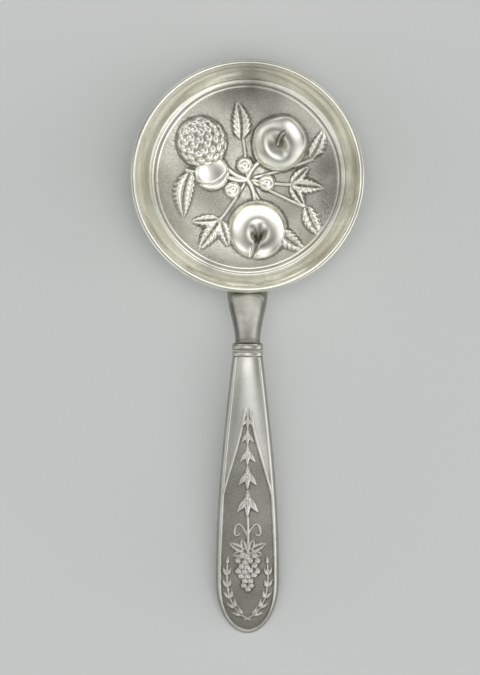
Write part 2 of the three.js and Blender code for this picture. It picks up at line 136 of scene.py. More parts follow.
class HandleSizes(bpy.types.PropertyGroup):
    """Sizes of the shank, the collar and the handle."""
    neck_reach: length("Neck reach", "From the bowl's rim to the collar", 17.8)
    neck_rise: length("Neck rise", "Collar's height over the rim", 4.6)
    neck_slope: angle("Neck slope", "Slope of the centre line at the collar", 18)
    neck_half_width: length("Neck half width", "At the collar", 4.2)
    neck_half_depth: length("Neck half depth", "At the collar", 2.4)
    drop_reach: length("Drop reach", "How far the drop runs in under the rim", 9)
    drop_half_width: length("Drop half width", "Where the drop is widest", 7)
    drop_half_depth: length("Drop half depth", "Where the drop is thickest", 2.7)
    collar_length: length("Collar length", "Along the centre line", 5.2)
    collar_bead: length("Collar bead", "How far its turned beads stand out", 0.55)
    pearl: length("Pearl", "Radius of the pearls round the collar", 0.48)
    reach: length("Reach", "From the collar to the tip", 102.6)
    arch_reach: length("Arch reach", "Pull of the centre line at the collar", 12.5)
    tail_reach: length("Tail reach", "Pull of the centre line at the tip", 46)
    tail_rise: length("Tail rise", "Height of that pull", 15)
    wall: length("Wall", "Thickness of the handle's halves", 0.9)
    start_half_width: length("Start half width", "Handle at the collar", 4.6)
    half_width: length("Half width", "Handle at its widest", HANDLE_HIGH[0] / MM)
    tip_round: length("Tip round", "Length of the rounded end", 20.2)
    front_start_rise: length("Front start rise", "Height of the front at the collar", 2.7)
    front_rise: length("Front rise", "Height of the front at its widest", 3.5)
    back_start_drop: length("Back start drop", "Depth of the back at the collar", 2.7)
    back_drop: length("Back drop", "Depth of the back at its widest", 2.5)
    margin: length("Margin", "Width of the plain edge round the ornament", 1.9)


class Finishes(bpy.types.PropertyGroup):
    """Colours of the silver, of what has settled in its hollows and of the painted shade."""
    handle_silver: colour("Handle silver", "Worn silver of the handle", 0.78, 0.78, 0.735)
    bowl_silver: colour("Bowl silver", "Faintly gilt silver of the bowl", 0.93, 0.918, 0.84)
    # Darkened silver of the hollows, and the colour that the painted shade darkens the silver
    # towards
    patina: colour("Patina", "Darkened silver in the hollows", 0.14, 0.135, 0.11)
    tan: colour("Tan", "First yellow tarnish, in clouds", 0.56, 0.5, 0.36)
    cement: colour("Cement", "Filling of the handle", 0.16, 0.11, 0.07)
    bowl_roughness: strength("Bowl roughness", "Of the polished bowl", 0.14, 1)
    handle_roughness: strength("Handle roughness", "Of the handled silver", 0.22, 1)


class StageSettings(bpy.types.PropertyGroup):
    """The table, the light and the camera."""
    floor: colour("Floor", "Pale table", 0.55, 0.557, 0.551)
    camera_height: length("Camera height", "Over the table", 900)
    frame_height: length("Frame height", "What the picture's height shows", 238.7)
    centre_x: length("Centre across", "Middle of the picture", -2.6)
    centre_y: length("Centre along", "Middle of the picture", -55.8)
    light: strength("Light", "Strength of the soft lights", 1)
    background: strength("Background", "What lies behind the table", 0.6)
    tint: colour("Tint", "Of the light", 0.985, 1.0, 0.99)


class SpoonSettings(bpy.types.PropertyGroup):
    """All settings of the spoon."""
    bowl: PointerProperty(type=BowlSizes)
    handle: PointerProperty(type=HandleSizes)
    finish: PointerProperty(type=Finishes)
    stage: PointerProperty(type=StageSettings)


def settings():
    return bpy.context.scene.spoon


class Millimetres:
    """Reads a group's lengths in millimetres and its angles in radians."""

    def __init__(self, group):
        self._group = group

    def __getattr__(self, name):
        value = getattr(self._group, name)
        is_length = self._group.bl_rna.properties[name].unit == "LENGTH"
        return value / MM if is_length else value


# Node trees: Python's operators add Math nodes, and one method adds any other node

def maths(operation, swapped=False):
    """A method that adds a Math node for a value and what stands after it, or before it."""

    def method(self, *others):
        values = (*others, self) if swapped else (self, *others)
        return self.tree.node("ShaderNodeMath", {"operation": operation}, dict(enumerate(values)))

    return method


class Value:
    """A node's output, with the sums that are done on it."""

    __add__ = __radd__ = maths("ADD")
    __mul__ = __rmul__ = maths("MULTIPLY")
    __sub__, __rsub__ = maths("SUBTRACT"), maths("SUBTRACT", swapped=True)
    __truediv__, __rtruediv__ = maths("DIVIDE"), maths("DIVIDE", swapped=True)
    __pow__ = maths("POWER")
    least, most = maths("MINIMUM"), maths("MAXIMUM")
    sine, cosine, exponential = maths("SINE"), maths("COSINE"), maths("EXPONENT")

    def __init__(self, tree, socket):
        self.tree, self.socket = tree, socket

    def clamped(self):
        return self.most(0.0).least(1.0)


def enabled_socket(sockets, name):
    """A socket by its place or by its name, as some nodes hold several sockets of one name."""
    if isinstance(name, int):
        return sockets[name]
    return next(socket for socket in sockets if socket.enabled and socket.name == name)


class Tree:
    """Adds nodes to a node tree."""

    def __init__(self, tree):
        self.tree = tree

    def node(self, kind, options=None, inputs=None, output=0):
        node = self.tree.nodes.new(kind)
        for name, option in (options or {}).items():
            if name == "stops":
                self._set_stops(node.color_ramp, option)
            else:
                setattr(node, name, option)
        for name, value in (inputs or {}).items():
            socket = enabled_socket(node.inputs, name)
            if isinstance(value, Value):
                self.tree.links.new(value.socket, socket)
            else:
                socket.default_value = value
        return Value(self, enabled_socket(node.outputs, output)) if len(node.outputs) else node

    @staticmethod
    def _set_stops(ramp, stops):
        while len(ramp.elements) < len(stops):
            ramp.elements.new(1.0)
        for element, (position, shade) in zip(ramp.elements, stops):
            element.position, element.color = position, (*shade, 1)

    def other(self, value, output):
        """Another output of the node that a value comes from."""
        return Value(self, enabled_socket(value.socket.node.outputs, output))

    def parts(self, vector):
        x = self.node("ShaderNodeSeparateXYZ", inputs={"Vector": vector}, output="X")
        return x, self.other(x, "Y"), self.other(x, "Z")

    def vector(self, **parts):
        return self.node("ShaderNodeCombineXYZ", inputs=parts)

    def noise(self, place, texture):
        return self.node("ShaderNodeTexNoise", inputs={"Vector": place, **texture}, output="Fac")

    def mixed(self, share, first, second):
        """A colour that goes from the first to the second."""
        first, second = (shade if isinstance(shade, Value) else (*shade, 1)
                         for shade in (first, second))
        return self.node("ShaderNodeMix", {"data_type": "RGBA"}, {
            "Factor": share, "A": first, "B": second}, output="Result")

    def bump(self, strength, distance, height):
        return self.node("ShaderNodeBump", inputs={
            "Strength": strength, "Distance": distance, "Height": height})


def cleared_tree(owner):
    """The node tree of a material or a world, with nothing in it."""
    owner.use_nodes = True
    owner.node_tree.nodes.clear()
    return Tree(owner.node_tree)


# Materials

# The noises in the surfaces, each by its scale in turns a metre
CLOUDS = {"Scale": 90.0, "Detail": 4.0, "Roughness": 0.6}
SPECKS = {"Scale": 900.0, "Detail": 3.0, "Roughness": 0.7}
SCRATCHES = {"Scale": 420.0, "Detail": 5.0, "Roughness": 0.75}
PLANISHING = {"Scale": 160.0, "Detail": 1.5}
GRIT = {"Scale": 1200.0, "Detail": 6.0}
TABLE_CLOUDS = {"Scale": 6.0}

# How much the silver is darkened along the spoon, partly by tarnish and partly as painted shade:
# darker towards the handle's tip, at the neck by the bowl and towards the bowl's far wall. Each
# stop a place along the spoon in millimetres and a share
TARNISH_AND_SHADE_VEILS = {
    "bowl_silver": [(-42, 0.06), (-20, 0.08), (12, 0.12), (42, 0.15)],
    "handle_silver": [(-160, 0.6), (-145, 0.53), (-128, 0.47), (-100, 0.37), (-76, 0.41),
                      (-66, 0.42), (-62, 0.46), (-57, 0.71), (-42, 0.75)],
}

# Patches of painted shade in the bowl, on its far and right walls and over the fruit, and of
# painted highlight on the fruit where the share is less than nothing: each a place and a radius in
# millimetres, and a share
PAINTED_LIGHT_PATCHES = [
    (1.5, 31.5, 14, 0.65), (30, 3.5, 11, 0.6), (32, -8, 8, 0.5), (-13, -7, 6, 0.22),
    (4, -20.8, 6.4, 0.85), (12, 13, 11.5, 0.5), (-16.5, 14.5, 9.5, 0.36), (-30, -7, 11, 0.24),
    (-13, -31, 5, 0.3), (-11.5, 3, 7, -0.14), (-3.5, -14, 7, -0.16), (7, -11.5, 7, -0.16),
]

# Where the silver has turned yellow, in the same way
BLOOMS = [(-34, -1, 10, 0.4), (-25, -17, 8, 0.4), (-2, -36, 9, 0.15), (21, -23, 9, 0.45)]

MATERIALS = {"bowl_silver": "embossed_silver", "handle_silver": "struck_silver",
             "cement": "set_cement"}
GROUND_PATINA = {"bowl_silver": 0.55, "handle_silver": 0.8}
SILVER_BUMP, CEMENT_BUMP = 0.00012, 0.0002


def new_material(name, build):
    material = bpy.data.materials.new(name)
    tree = cleared_tree(material)
    tree.node("ShaderNodeOutputMaterial", inputs={"Surface": build(tree)})
    return material


def silver_material(slot, silver, roughness):
    """Silver with oxide in its hollows, tarnish with painted shade along its length, patches of
    painted shade and painted highlight, and the scratches of use.
    """
    finish = settings().finish
    tip, far = HANDLE_LOW[1], BOWL_HIGH[1]

    def with_patches(tree, value, on_plan, patches):
        for x, y, radius, share in patches:
            distance = tree.node("ShaderNodeVectorMath", {"operation": "DISTANCE"}, {
                0: on_plan, 1: (x * MM, y * MM, 0)}, output="Value")
            value = value + (1 - distance / (radius * MM)).most(0) ** 0.8 * share
        return value

    def build(tree):
        place = tree.node("ShaderNodeTexCoord", output="Object")
        hollow, ground = (tree.node("ShaderNodeAttribute", {"attribute_name": mark}, output="Fac")
                          for mark in ("hollow", "ground"))
        cloud, speck = tree.noise(place, CLOUDS), tree.noise(place, SPECKS)
        on_plan = tree.node("ShaderNodeVectorMath", {"operation": "MULTIPLY"}, {
            0: place, 1: (1, 1, 0)}, output="Vector")
        along = tree.parts(place)[1]
        # A ramp along the spoon of tarnish and painted shade
        stops = [((y * MM - tip) / (far - tip), (share,) * 3) for y, share in TARNISH_AND_SHADE_VEILS[slot]]
        veil_and_shade = tree.node("ShaderNodeValToRGB", {"stops": stops},
                         {"Fac": (along - tip) / (far - tip)}, output="Color")

        # The ramp with the patches of painted shade and painted highlight added
        veil_and_painted_light = with_patches(tree, veil_and_shade, on_plan, PAINTED_LIGHT_PATCHES)
        settled = (hollow * 0.9).most(ground * GROUND_PATINA[slot]) * (0.72 + 0.5 * cloud)
        # Patina in the hollows and on the ground, with tarnish and painted shade over the rest
        tarnish = (settled + veil_and_painted_light * (0.6 + 0.8 * cloud) * (1 - settled)).clamped()
        haze = ((cloud - 0.48) * 2.4).clamped() * 0.3
        bloom = with_patches(tree, haze, on_plan, BLOOMS)
        base = tree.mixed(tarnish, tree.mixed(bloom, silver, finish.tan), finish.patina)
        gloss = roughness + settled * 0.26 + bloom * 0.2 + (speck - 0.5) * 0.1

        stretched = tree.node("ShaderNodeMapping", inputs={
            "Vector": place, "Rotation": (0.2, 0.3, 0.5), "Scale": (1.0, 14.0, 3.0)})
        uneven = (tree.noise(stretched, SCRATCHES) * 0.2 + tree.noise(place, PLANISHING) * 0.42
                  + speck * 0.12)
        return tree.node("ShaderNodeBsdfPrincipled", inputs={
            "Base Color": base, "Metallic": 1.0, "Roughness": gloss,
            "Normal": tree.bump(0.35, SILVER_BUMP, uneven)})

    return new_material(MATERIALS[slot], build)


def cement_material(shade):
    def build(tree):
        grit = tree.noise(tree.node("ShaderNodeTexCoord", output="Object"), GRIT)
        darker = tuple(part * 0.6 for part in shade)
        return tree.node("ShaderNodeBsdfPrincipled", inputs={
            "Base Color": tree.mixed(grit, shade, darker), "Roughness": 0.9,
            "Normal": tree.bump(0.6, CEMENT_BUMP, grit)})

    return new_material(MATERIALS["cement"], build)


def get_material(slot):
    """The finish of one of the record's slots, made when it is first asked for."""
    finish = settings().finish
    if MATERIALS[slot] in bpy.data.materials:
        return bpy.data.materials[MATERIALS[slot]]
    if slot == "bowl_silver":
        return silver_material(slot, finish.bowl_silver, finish.bowl_roughness)
    if slot == "handle_silver":
        return silver_material(slot, finish.handle_silver, finish.handle_roughness)
    return cement_material(finish.cement)


# Meshes

def bare_object(name, points=(), edges=(), faces=()):
    """An object whose mesh has these points, in metres."""
    mesh = bpy.data.meshes.new(name)
    mesh.from_pydata([tuple(point) for point in points], edges, faces)
    piece = bpy.data.objects.new(name, mesh)
    bpy.context.collection.objects.link(piece)
    return piece


def set_mark(mesh, name, values):
    mesh.attributes.new(name, "FLOAT", "POINT").data.foreach_set("value", np.ravel(values))


def new_piece(name, points, faces, slot, replaces, marks):
    """A smooth mesh piece from points in millimetres, with marks kept as attributes."""
    piece = bare_object(name, (np.asarray(points) * MM).tolist(), [], faces)
    for mark, values in marks.items():
        set_mark(piece.data, mark, values)
    piece.data.shade_smooth()
    piece.data.materials.append(get_material(slot))
    declare(piece, replaces)
    return piece


def declare(piece, replaces=()):
    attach(piece, BODY)
    if replaces:
        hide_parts(*replaces)


def grid_faces(rows, columns):
    """Quads between rows of points, each row closing on itself."""
    row, column = np.meshgrid(np.arange(rows - 1), np.arange(columns), indexing="ij")
    after, start = (column + 1) % columns, row * columns
    corners = np.stack([start + column, start + after,
                        start + columns + after, start + columns + column], axis=-1)
    return corners.reshape(-1, 4).tolist()


def closed_by_poles(rows, first_pole, last_pole):
    """Rows of points closed by a point beyond the first and the last, with all their faces."""
    count, columns = rows.shape[:2]
    points, faces = [*rows.reshape(-1, 3), first_pole, last_pole], grid_faces(count, columns)
    first, start = count * columns, (count - 1) * columns
    for j in range(columns):
        k = (j + 1) % columns
        faces += [[first, k, j], [first + 1, start + j, start + k]]
    return points, faces


# Reliefs: heights over a plane, kept on a fine grid

def smooth(value, low, high):
    share = np.clip((value - low) / (high - low), 0, 1)
    return share * share * (3 - 2 * share)


def lerp(start, end, share):
    return start + (end - start) * share


def dome(distance, radius, height, fullness=0.5):
    return height * np.clip(1 - (distance / radius) ** 2, 0, None) ** fullness


def groove(distance, width, depth):
    return -depth * np.exp(-((distance / width) ** 2))


def highest(*heights):
    return np.maximum.reduce(heights)


def polar(degrees, share, radius):
    turn = math.radians(degrees)
    return np.array([math.cos(turn), math.sin(turn)]) * share * radius


def seen_from(x, y, place, heading):
    """How far places lie along a heading from one place, and across it."""
    turn = math.radians(heading)
    dx, dy = x - place[0], y - place[1]
    return (dx * math.cos(turn) + dy * math.sin(turn), dy * math.cos(turn) - dx * math.sin(turn))


def blurred(grid, cell, width):
    """A Gaussian blur, one axis after the other."""
    reach = int(3 * width / cell) + 1
    kernel = np.exp(-0.5 * ((np.arange(-reach, reach + 1) * cell / width) ** 2))
    kernel /= kernel.sum()
    for axis in (0, 1):
        grid = np.apply_along_axis(lambda line: np.convolve(line, kernel, mode="same"), axis, grid)
    return grid


class Relief:
    """A height map, with where its ground lies bare and how hollow each place is."""

    # Widths that the map is blurred to, and how much each says about how hollow a place is
    BLURS = {"close": (0.3, 5), "soft": (0.7, 1.6), "wide": (2.2, 0.45)}

    def __init__(self, low, high, cell, stamp):
        self.low, self.cell = low, cell
        axes = [np.arange(start, end, cell) for start, end in zip(low, high)]
        height, ground = stamp(*np.meshgrid(*axes, indexing="ij"))
        self.maps = {name: blurred(height, cell, width) for name, (width, _) in self.BLURS.items()}
        depth = sum((self.maps[name] - height) * share for name, (_, share) in self.BLURS.items())
        self.maps.update(height=height, ground=ground, hollow=np.clip(depth, 0, 1))

    def read(self, name, x, y):
        """Reads a map between its points."""
        grid = self.maps[name]
        across, along = (np.clip((place - start) / self.cell, 0, size - 1.001)
                         for place, start, size in zip((x, y), self.low, grid.shape))
        i, j = across.astype(int), along.astype(int)
        u, v = across - i, along - j
        near = grid[i, j] * (1 - u) + grid[i + 1, j] * u
        far = grid[i, j + 1] * (1 - u) + grid[i + 1, j + 1] * u
        return near * (1 - v) + far * v


def bent_path(start, middle, end, steps=9):
    t = np.linspace(0, 1, steps)[:, None]
    start, middle, end = (np.array(point, float) for point in (start, middle, end))
    return (1 - t) ** 2 * start + 2 * t * (1 - t) * middle + t ** 2 * end


def stalk(x, y, path, radius, height):
    """A round stalk along a path that bends from its start by a middle point to its end."""
    path = bent_path(*path)
    nearest = np.full(np.shape(x), np.inf)
    for (ax, ay), (bx, by) in zip(path[:-1], path[1:]):
        run, climb = bx - ax, by - ay
        share = np.clip(((x - ax) * run + (y - ay) * climb) / (run * run + climb * climb), 0, 1)
        nearest = np.minimum(nearest, np.hypot(x - ax - share * run, y - ay - share * climb))
    return dome(nearest, radius, height)


def leaf(x, y, place, heading, half_length, half_width, height, bend, vein_gap):
    """A toothed leaf with a midrib and side veins, each half swelling between rib and edge."""
    along, across = seen_from(x, y, place, heading)
    across = across - bend * along ** 2 / half_length
    share = np.clip(1 - (along / half_length) ** 2, 0, 1)
    from_vein = (along - 0.8 * np.abs(across)) / vein_gap % 1 - 0.5
    toothed = 1 + 0.16 * (2 * np.abs(from_vein) - 0.5)
    outline = half_width * share ** 0.75 * (1 - 0.25 * along / half_length) * toothed + 1e-6
    part = np.abs(across) / outline
    blade = height * (1 - smooth(part, 0.72, 1.0)) * (0.62 + 0.38 * np.sin(math.pi * part))
    blade *= share ** 0.2
    veins = (groove(across, 0.36, 0.42 * height)
             + groove(from_vein * vein_gap, 0.3, 0.16 * height))
    return np.where((share > 0) & (part < 1), np.maximum(blade + veins * (blade > 0.1), 0), 0)


def spread_leaf(x, y, foot, heading, blades, height, bend=0.0, vein_gap=1.9):
    """Blades that spread from one foot, each by its turn, half length and half width."""
    return highest(*(
        leaf(x, y, foot + polar(heading + turn, 1, half_length), heading + turn, half_length,
             half_width, height, bend, vein_gap) for turn, half_length, half_width in blades))


# The bowl's ornament. Its places are an angle in degrees and a share of the relief's radius

def drupelets(dx, dy, radius, count, size, height):
    """Beads over a round berry in a golden spiral, drawn together towards its edge."""
    across, along = dx / radius, dy / radius
    up = np.sqrt(np.clip(1 - across ** 2 - along ** 2, 0, 1))
    beads = np.zeros(dx.shape)
    for i in range(count):
        lift = 1 - (i + 0.5) / count
        out, turn = math.sqrt(1 - lift * lift), i * GOLDEN_ANGLE
        towards = across * out * math.cos(turn) + along * out * math.sin(turn) + up * lift
        distance = np.arccos(np.clip(towards, -1, 1)) * radius
        beads = np.maximum(beads, dome(distance, size, height))
    return np.where(across ** 2 + along ** 2 < 1, beads, 0)


def berry(dx, dy, radius, height):
    body = dome(np.hypot(dx, dy), radius * 0.97, height * 0.86, 0.55)
    return body + drupelets(dx, dy, radius * 0.98, 50, 1.8, 0.8) * smooth(body, 0, 0.8)


def plum(dx, dy, radius, height):
    body = dome(np.hypot(dx, dy), radius, height * 0.9, 0.42)
    crease = groove(dx * 0.35 - dy * 0.94 + 0.07 * dx ** 2 - 3.6, 0.5, 0.4)
    return (body + crease) * (body > 0)


def apple(dx, dy, radius, height):
    """An apple with its stalk lying out of a deep eye."""
    distance, turn = np.hypot(dx, dy), np.arctan2(dy, dx)
    lobes = 1 + 0.015 * np.cos(5 * turn) * smooth(distance, 1.5, 6)
    body = dome(distance / lobes, radius, height, 0.55)
    eye = groove(np.hypot(dx + 0.3 * dy, dy * 0.8), 3.4, 2.4)
    stem = stalk(dx, dy, ((0, 0), (0.4, 2.4), (2.4, 4.6)), 0.75, 1.5) * (distance < radius * 0.8)
    return (body + eye + stem) * (body > 0)


def peach(dx, dy, radius, height):
    """A peach whose seam runs down from its pit."""
    body = dome(np.hypot(dx, dy), radius, height, 0.48)
    pit = groove(np.hypot(dx - 0.4, dy + 2.2), 2.9, 2.5)
    seam = groove(dx - 0.4 + 0.035 * (dy + 2) ** 2, 0.8, 1.0) * smooth(-dy, 1.2, 4)
    return (body + pit + seam) * (body > 0)


def currant(dx, dy, radius, _height):
    distance = np.hypot(dx, dy)
    return dome(distance, radius, 2.2) + groove(distance, 0.5, 0.5)


# Each a form, a place and a radius in millimetres
FRUIT = [(berry, 141.4, 0.64, 9.2), (plum, 170, 0.395, 6.3),
         (apple, 48.1, 0.522, 9.9), (peach, -78.6, 0.564, 10.6)]
CURRANTS = [(currant, 100, 0.16, 3.1), (currant, 215, 0.2, 3.1), (currant, -10, 0.22, 3.1)]

# Each a place, a heading in degrees, a half length and half width, a bend and a count of blades
LEAVES = [
    (96, 0.64, 96, 6.6, 3.7, 0.12, 1), (193, 0.72, 262, 8.4, 3.7, 0.16, 1),
    (236, 0.74, 236, 6.4, 3.1, 0.0, 3), (-7, 0.66, -7, 5.6, 3.0, 0.0, 3),
    (-34, 0.85, -66, 6.0, 3.1, 0.12, 1), (-56, 0.82, -40, 6.2, 3.4, 0.1, 1),
    (25, 0.86, 66, 5.4, 2.7, 0.12, 1),
]
BLADES = [(0, 1.0), (52, 0.78), (-52, 0.78)]


def bowl_stamp(sizes):
    reach = sizes.radius - sizes.border

    def twig_and_leaf(x, y, degrees, share, heading, half_length, half_width, bend, lobes):
        foot = polar(degrees, share, reach) - polar(heading, 1, half_length)
        blades = [(turn, half_length * scale, half_width * scale) for turn, scale in BLADES[:lobes]]
        return highest(stalk(x, y, (foot, foot * 0.7 + (0.4, -0.6), foot * 0.12), 0.6, 0.7),
                       spread_leaf(x, y, foot, heading, blades, sizes.leaf_height, bend))

    def fruit_stalk(x, y, degrees, share):
        start, middle = polar(degrees, share, reach), polar(degrees + 25, share * 0.35, reach)
        return stalk(x, y, (start * 0.6, middle, (0, 0)), 0.85, 0.95)

    def fruit(x, y, form, degrees, share, radius):
        place = polar(degrees, share, reach)
        rise = sizes.fruit_height * (radius / sizes.fruit_radius) ** 0.7
        return form(x - place[0], y - place[1], radius, rise)

    def stamp(x, y):
        height = highest(np.zeros(x.shape), *(twig_and_leaf(x, y, *each) for each in LEAVES),
                         *(fruit_stalk(x, y, *place) for _form, *place, _radius in FRUIT),
                         *(fruit(x, y, *each) for each in CURRANTS + FRUIT))
        radius = np.hypot(x, y)
        height = height * (1 - smooth(radius, reach - 2.5, reach - 0.5))
        border = (dome(radius - reach - 0.8, 0.6, 0.35) + groove(radius - reach, 0.3, 0.4)
                  + groove(radius - reach - 1.7, 0.22, 0.25))
        ground = (1 - smooth(height, 0.05, 0.3)) * (1 - smooth(radius, reach - 1.2, reach - 0.5))
        return height + border, ground

    return stamp


# The handle's ornament. Its places are how far across the handle and back from its tip

VINE_LEAVES = [((-1.0, 32.4), 152), ((1.0, 32.4), 28)]
VINE_BLADES = [(-96, 1.5, 1.0), (96, 1.5, 1.0), (-50, 2.3, 1.4), (50, 2.3, 1.4), (0, 3.0, 1.6)]

# Each by where it hangs and its scale
HUSKS = [(48.6, 1.06), (58.2, 0.9), (66.4, 0.75), (73.2, 0.62), (78.8, 0.5)]

# The stem of the right-hand sprig, from the crossing at the tip, and how far up it leaves sit
SPRIG = ((-0.8, 6.0), (8.6, 10.5), (7.0, 27.5))
SPRIG_LEAVES = (0.16, 0.34, 0.52, 0.7, 0.86, 1.0)

# The rows of the bunch, each by how far back it lies and its count of grapes
GRAPE_ROWS = [(30.6, 3), (28.8, 4), (26.9, 3), (25.1, 4), (23.3, 3), (21.5, 2), (19.7, 2),
              (18.0, 1)]
GRAPE_RADIUS, GRAPE_SPACING = 1.3, 2.2


def petal(x, y, foot, heading, reach, half_width, height, bend=0.0):
    """A smooth pointed petal that swells towards its middle and curls to one side."""
    along, across = seen_from(x, y, foot, heading)
    along = along / reach
    across = across - bend * along ** 2
    breadth = half_width * np.sin(math.pi * np.clip(along, 0, 1) ** 0.7) ** 0.8 + 1e-6
    swell = dome(across, breadth, height, 0.6)
    return swell * np.clip(4 * along * (1 - along), 0, 1) ** 0.35 * (along > 0) * (along < 1)


def husk(x, back, place, scale):
    """A bellflower: three petals that open from a beaded cup towards the tip."""
    top = place + 4.4 * scale
    bead = dome(np.hypot(x, back - top), 0.8 * scale, 0.7 * scale)
    cup = dome(np.hypot(x / 1.25, (back - top + 1.3 * scale) / 1.1), scale, 0.95 * scale)
    outer = (petal(x, back, (0.3 * side * scale, top - 1.2 * scale), -90 + 21 * side, 6.0 * scale,
                   1.25 * scale, 0.8 * scale, side * 1.3 * scale) for side in (-1, 1))
    middle = petal(x, back, (0, top - 1.4 * scale), -90, 7.0 * scale, 1.15 * scale, 1.05 * scale)
    return highest(bead, cup, *outer, middle)


def sprig(x, back):
    """A laurel sprig with its leaves in pairs, curving up beside the bunch."""
    heights = [stalk(x, back, SPRIG, 0.4, 0.5)]
    path = bent_path(*SPRIG, steps=101)
    for share in SPRIG_LEAVES:
        at = min(int(share * 100), 99)
        way = path[at + 1] - path[at]
        heading = math.degrees(math.atan2(way[1], way[0]))
        heights += [petal(x, back, path[at], heading + 34 * side, 3.9 - 0.7 * share, 0.8, 0.75,
                          -0.5 * side) for side in ((0,) if share == 1 else (-1, 1))]
    return highest(*heights)


def grapes(x, back):
    """A bunch of grapes, its rows set a little out of line, wide at the shoulder."""
    swell = dome(np.hypot(x / 4.8, (back - 25.2) / 8.8), 1, 0.6, 0.8)
    heights = []
    for row, count in GRAPE_ROWS:
        for i in range(count):
            across = (i - (count - 1) / 2) * GRAPE_SPACING + 0.25 * math.sin(5 * row + 9 * i)
            distance = np.hypot(x - across, back - row - 0.3 * math.sin(7 * row + 4 * i))
            heights.append(dome(distance, GRAPE_RADIUS, 1.1) + swell * (distance < GRAPE_RADIUS))
    return highest(*heights)


def tendrils(x, back):
    """The stem of the bunch and of the husks, and a tendril that curls to each side."""
    heights = [stalk(x, back, ((0, 30), (0.5, 38), (0, 46)), 0.55, 0.7),
               stalk(x, back, ((0, 46), (0, 60), (0, 82)), 0.3, 0.35)]
    for side in (-1, 1):
        rising = ((0, 38), (side * 3.4, 46), (side * 4.6, 39.6))
        curling = ((side * 4.6, 39.6), (side * 4.4, 37.2), (side * 2.9, 38.6))
        heights += [stalk(x, back, path, 0.36, 0.5) for path in (rising, curling)]
    return highest(*heights)


def handle_stamp(form):
    sizes = form.sizes

    def inside_outline(x, back):
        """How far inside the handle's outline a place lies."""
        distance = form.line.length - back
        widest = form.line.length - sizes.tip_round
        past = np.clip(distance - widest, 0, None)
        half_width = form.section(np.minimum(distance, widest), 0)[0]
        share, reach = np.hypot(x / half_width, past / sizes.tip_round), np.hypot(x, past)
        to_edge = np.where(reach > 1e-6, reach / np.maximum(share, 1e-9), half_width)
        return np.maximum(to_edge - reach, 0)

    def stamp(x, back):
        """The ornament at places across the handle and back from its tip."""
        from_edge = inside_outline(x, back)
        panel_half = 9.9 * smooth(back, 90, 38) + 0.1
        into_panel = np.minimum(from_edge - sizes.margin, panel_half - np.abs(x))
        there = smooth(panel_half, 0.3, 1.2)
        field = smooth(into_panel, -0.1, 0.3) * there
        threads = highest(dome(from_edge - 1.15, 0.62, 0.4),
                          dome(into_panel + 0.5, 0.4, 0.3) * there)
        leaves = (spread_leaf(x, back, foot, heading, VINE_BLADES, 0.8, vein_gap=1.2)
                  for foot, heading in VINE_LEAVES)
        husks = (husk(x, back, *each) for each in HUSKS)
        height = highest(sprig(x, back), sprig(-x, back), *leaves, tendrils(x, back), *husks,
                         grapes(x, back))
        height = height * smooth(from_edge - sizes.margin, -0.2, 0.2)
        ground = field * (1 - smooth(height, 0.05, 0.25))
        return threads + height - 0.4 * field, ground

    return stamp


# The handle's and the bowl's plain forms

class CentreLine:
    """A cubic curve in the spoon's plane of symmetry, measured along its length."""

    def __init__(self, *controls):
        t = np.linspace(0, 1, 2001)[:, None]
        a, b, c, d = (np.asarray(point, float) for point in controls)
        self.points = ((1 - t) ** 3 * a + 3 * t * (1 - t) ** 2 * b + 3 * t ** 2 * (1 - t) * c
                       + t ** 3 * d)
        steps = np.linalg.norm(np.diff(self.points, axis=0), axis=1)
        self.distances = np.concatenate([[0], np.cumsum(steps)])
        self.length = self.distances[-1]
        self.ways = np.gradient(self.points, axis=0)
        self.ways /= np.linalg.norm(self.ways, axis=1)[:, None]

    def _read(self, table, distance):
        return np.stack([np.interp(distance, self.distances, table[:, i]) for i in (0, 1)], axis=-1)

    def at(self, distance):
        """The centre and the way up from it, each as a distance along and a height."""
        way = self._read(self.ways, distance)
        return self._read(self.points, distance), np.stack([way[..., 1], -way[..., 0]], axis=-1)

    def beside(self, distance, x, lift):
        """Points beside the line, in three dimensions."""
        centre, up = self.at(distance)
        return np.stack([x, centre[..., 0] + up[..., 0] * lift,
                         centre[..., 1] + up[..., 1] * lift], axis=-1)


class HandleForm:
    """The handle's centre line and its sections."""

    def __init__(self):
        bowl, handle = Millimetres(settings().bowl), Millimetres(settings().handle)
        self.sizes = handle
        self.collar = np.array([-(bowl.radius + handle.neck_reach), bowl.height + handle.neck_rise])
        self.way = np.array([-math.cos(handle.neck_slope), math.sin(handle.neck_slope)])
        height = handle.back_drop
        # Each pass brings the lowest point of the back nearer to the table
        for _ in range(6):
            self.line = self._line(height)
            distances = np.linspace(0, self.line.length, 200)
            centre, up = self.line.at(distances)
            lowest = self.section(distances, 0)[2] + SEAM_GAP
            height -= (centre[:, 1] - up[:, 1] * lowest).min()

    def _line(self, tip_height):
        handle = self.sizes
        tip = np.array([self.collar[0] - handle.reach, tip_height])
        return CentreLine(self.collar, self.collar + self.way * handle.arch_reach,
                          tip + (handle.tail_reach, handle.tail_rise), tip)

    def section(self, distance, inset):
        """Half width, rise of the front and drop of the back at a distance from the collar."""
        handle = self.sizes
        widest = self.line.length - handle.tip_round
        share = np.minimum(1, distance / widest)
        ease = np.sin(share * math.pi / 2)
        past = np.clip(distance - widest, 0, None) / (handle.tip_round - inset)
        closing = np.sqrt(np.clip(1 - past ** 2, 0, None))
        half_width = lerp(handle.start_half_width, handle.half_width, ease)
        rise = lerp(handle.front_start_rise, handle.front_rise, share)
        drop = lerp(handle.back_start_drop, handle.back_drop, share)
        return ((half_width - inset) * closing, (rise - inset) * closing ** 0.8,
                (drop - inset) * closing ** 0.8)


